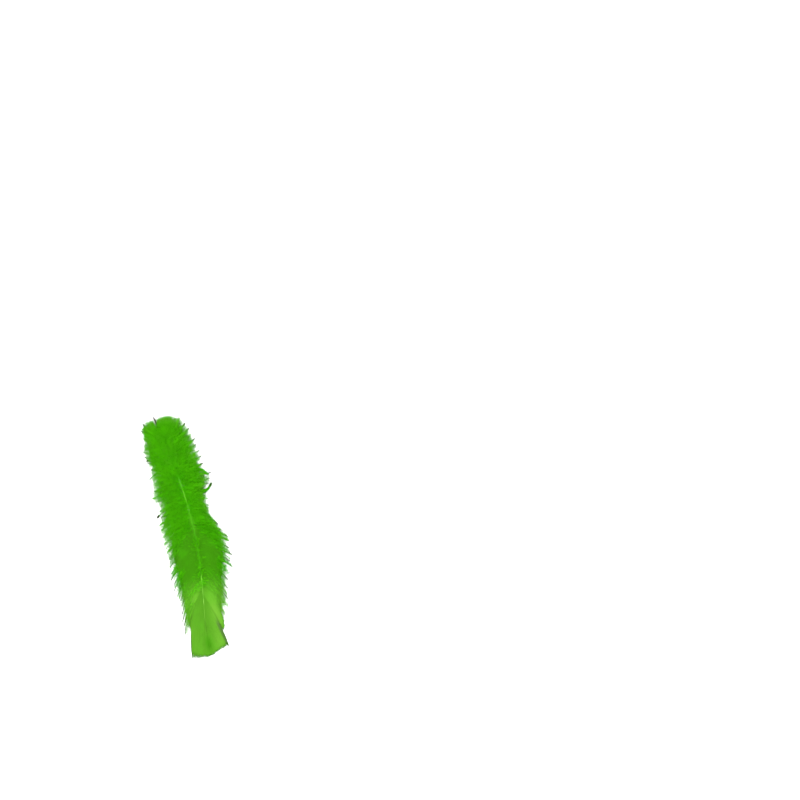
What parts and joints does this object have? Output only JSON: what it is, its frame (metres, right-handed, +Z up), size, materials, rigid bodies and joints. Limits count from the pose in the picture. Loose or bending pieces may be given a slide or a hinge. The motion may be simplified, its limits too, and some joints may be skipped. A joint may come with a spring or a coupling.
{
  "type": "turkey feather",
  "caption": "Dyed turkey body feather lying flat: a short quill, a thin curved shaft, soft down along most of its length and a firm vane with a square tip.",
  "frame": {"origin": "middle of the feather's outline, on the surface that it lies on", "axes": "+Y from the tip of the vane towards the quill, +Z up out of the surface, +X to the side that the shaft bows towards"},
  "size_m": [0.0264, 0.1, 0.0082],
  "materials": {
    "barbs": "matte dyed down and vane, bright green",
    "shaft": "smooth dyed horn, pale yellow-green"
  },
  "bodies": {
    "root": {"feather": "barbs"}
  },
  "joints": []
}
